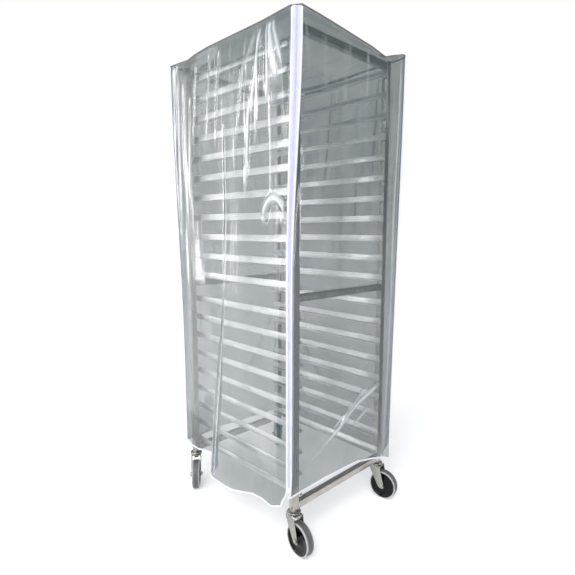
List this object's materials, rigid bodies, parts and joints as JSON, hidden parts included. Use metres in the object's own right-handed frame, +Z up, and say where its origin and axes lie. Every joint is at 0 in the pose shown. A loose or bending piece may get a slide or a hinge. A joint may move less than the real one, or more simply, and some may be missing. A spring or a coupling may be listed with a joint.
{
  "type": "sheet pan rack",
  "caption": "Tall mobile bakery rack of square tube posts and angle runners on swivel casters, under a clear zip-up vinyl cover with white piping.",
  "frame": {"origin": "on the floor under the middle of the rack", "axes": "+Z up, +X across the rack, +Y from the loading end towards the back"},
  "size_m": [0.6272, 0.8157, 1.7949],
  "materials": {
    "aluminium": "satin mill finish, drawn along its length",
    "zinc_steel": "zinc plated",
    "wheel_plastic": "moulded black",
    "tyre_rubber": "dark grey, matt",
    "bush_plastic": "moulded",
    "clear_vinyl": "clear, glossy, creased",
    "white_binding": "woven white tape and white piping",
    "zip_tape": "pale zip tape with a moulded chain"
  },
  "bodies": {
    "rack": {"left_side_frame": "aluminium", "right_side_frame": "aluminium", "top_front_bar": "aluminium", "middle_front_bar": "aluminium", "bottom_front_bar": "aluminium", "top_back_bar": "aluminium", "middle_back_bar": "aluminium", "bottom_back_bar": "aluminium", "post_cap_front_left": "aluminium", "post_cap_front_right": "aluminium", "post_cap_back_left": "aluminium", "post_cap_back_right": "aluminium", "stem_socket_front_left": "bush_plastic", "stem_socket_front_right": "bush_plastic", "stem_socket_back_left": "bush_plastic", "stem_socket_back_right": "bush_plastic", "caster_stem_front_left": "zinc_steel", "caster_stem_front_right": "zinc_steel", "caster_stem_back_left": "zinc_steel", "caster_stem_back_right": "zinc_steel", "stem_bolt_front_left": "zinc_steel", "stem_bolt_front_right": "zinc_steel", "stem_bolt_back_left": "zinc_steel", "stem_bolt_back_right": "zinc_steel"},
    "swivel_front_left": {"ball_ring_front_left": "zinc_steel", "yoke_front_left": "zinc_steel", "axle_bolt_front_left": "zinc_steel"},
    "swivel_front_right": {"ball_ring_front_right": "zinc_steel", "yoke_front_right": "zinc_steel", "axle_bolt_front_right": "zinc_steel"},
    "swivel_back_left": {"ball_ring_back_left": "zinc_steel", "yoke_back_left": "zinc_steel", "axle_bolt_back_left": "zinc_steel"},
    "swivel_back_right": {"ball_ring_back_right": "zinc_steel", "yoke_back_right": "zinc_steel", "axle_bolt_back_right": "zinc_steel"},
    "wheel_front_left": {"wheel_core_front_left": "wheel_plastic", "tyre_front_left": "tyre_rubber"},
    "wheel_front_right": {"wheel_core_front_right": "wheel_plastic", "tyre_front_right": "tyre_rubber"},
    "wheel_back_left": {"wheel_core_back_left": "wheel_plastic", "tyre_back_left": "tyre_rubber"},
    "wheel_back_right": {"wheel_core_back_right": "wheel_plastic", "tyre_back_right": "tyre_rubber"},
    "cover": {"cover_top": "clear_vinyl", "cover_left_panel": "clear_vinyl", "cover_right_panel": "clear_vinyl", "cover_back_panel": "clear_vinyl", "hem_binding_left": "white_binding", "hem_binding_right": "white_binding", "hem_binding_back": "white_binding", "top_seam_piping": "white_binding", "zip_tape_left_side": "zip_tape", "zip_tape_right_side": "zip_tape"},
    "front_flap": {"cover_front_flap": "clear_vinyl", "hem_binding_flap": "white_binding", "zip_tape_left_flap": "zip_tape", "zip_tape_right_flap": "zip_tape"},
    "slider_left": {"zip_slider_left": "zip_tape"},
    "slider_right": {"zip_slider_right": "zip_tape"}
  },
  "joints": [
    {"name": "swivel_turn_front_left", "type": "hinge", "parent": "rack", "child": "swivel_front_left", "pos_m": [-0.24765, -0.3175, 0.12], "axis": [0, 0, 1], "continuous": true},
    {"name": "swivel_turn_front_right", "type": "hinge", "parent": "rack", "child": "swivel_front_right", "pos_m": [0.24765, -0.3175, 0.12], "axis": [0, 0, 1], "continuous": true},
    {"name": "swivel_turn_back_left", "type": "hinge", "parent": "rack", "child": "swivel_back_left", "pos_m": [-0.24765, 0.3175, 0.12], "axis": [0, 0, 1], "continuous": true},
    {"name": "swivel_turn_back_right", "type": "hinge", "parent": "rack", "child": "swivel_back_right", "pos_m": [0.24765, 0.3175, 0.12], "axis": [0, 0, 1], "continuous": true},
    {"name": "wheel_roll_front_left", "type": "hinge", "parent": "swivel_front_left", "child": "wheel_front_left", "pos_m": [-0.25148, -0.3533, 0.06], "axis": [0.9943, -0.1063, 0], "continuous": true},
    {"name": "wheel_roll_front_right", "type": "hinge", "parent": "swivel_front_right", "child": "wheel_front_right", "pos_m": [0.2531, -0.35309, 0.06], "axis": [0.9885, 0.1513, 0], "continuous": true},
    {"name": "wheel_roll_back_left", "type": "hinge", "parent": "swivel_back_left", "child": "wheel_back_left", "pos_m": [-0.26861, 0.28823, 0.06], "axis": [0.8131, -0.5821, 0], "continuous": true},
    {"name": "wheel_roll_back_right", "type": "hinge", "parent": "swivel_back_right", "child": "wheel_back_right", "pos_m": [0.26861, 0.34677, 0.06], "axis": [0.8131, -0.5821, 0], "continuous": true},
    {"name": "cover_lift", "type": "slide", "parent": "rack", "child": "cover", "axis": [0, 0, 1], "range_m": [0, 1.62]},
    {"name": "flap_swing", "type": "hinge", "parent": "cover", "child": "front_flap", "pos_m": [0, -0.369, 1.7896], "axis": [-1, 0, 0], "range_deg": [0, 120]},
    {"name": "zip_left_run", "type": "slide", "parent": "front_flap", "child": "slider_left", "axis": [0, 0, 1], "range_m": [0, 1.49]},
    {"name": "zip_right_run", "type": "slide", "parent": "front_flap", "child": "slider_right", "axis": [0, 0, 1], "range_m": [0, 1.49]}
  ]
}
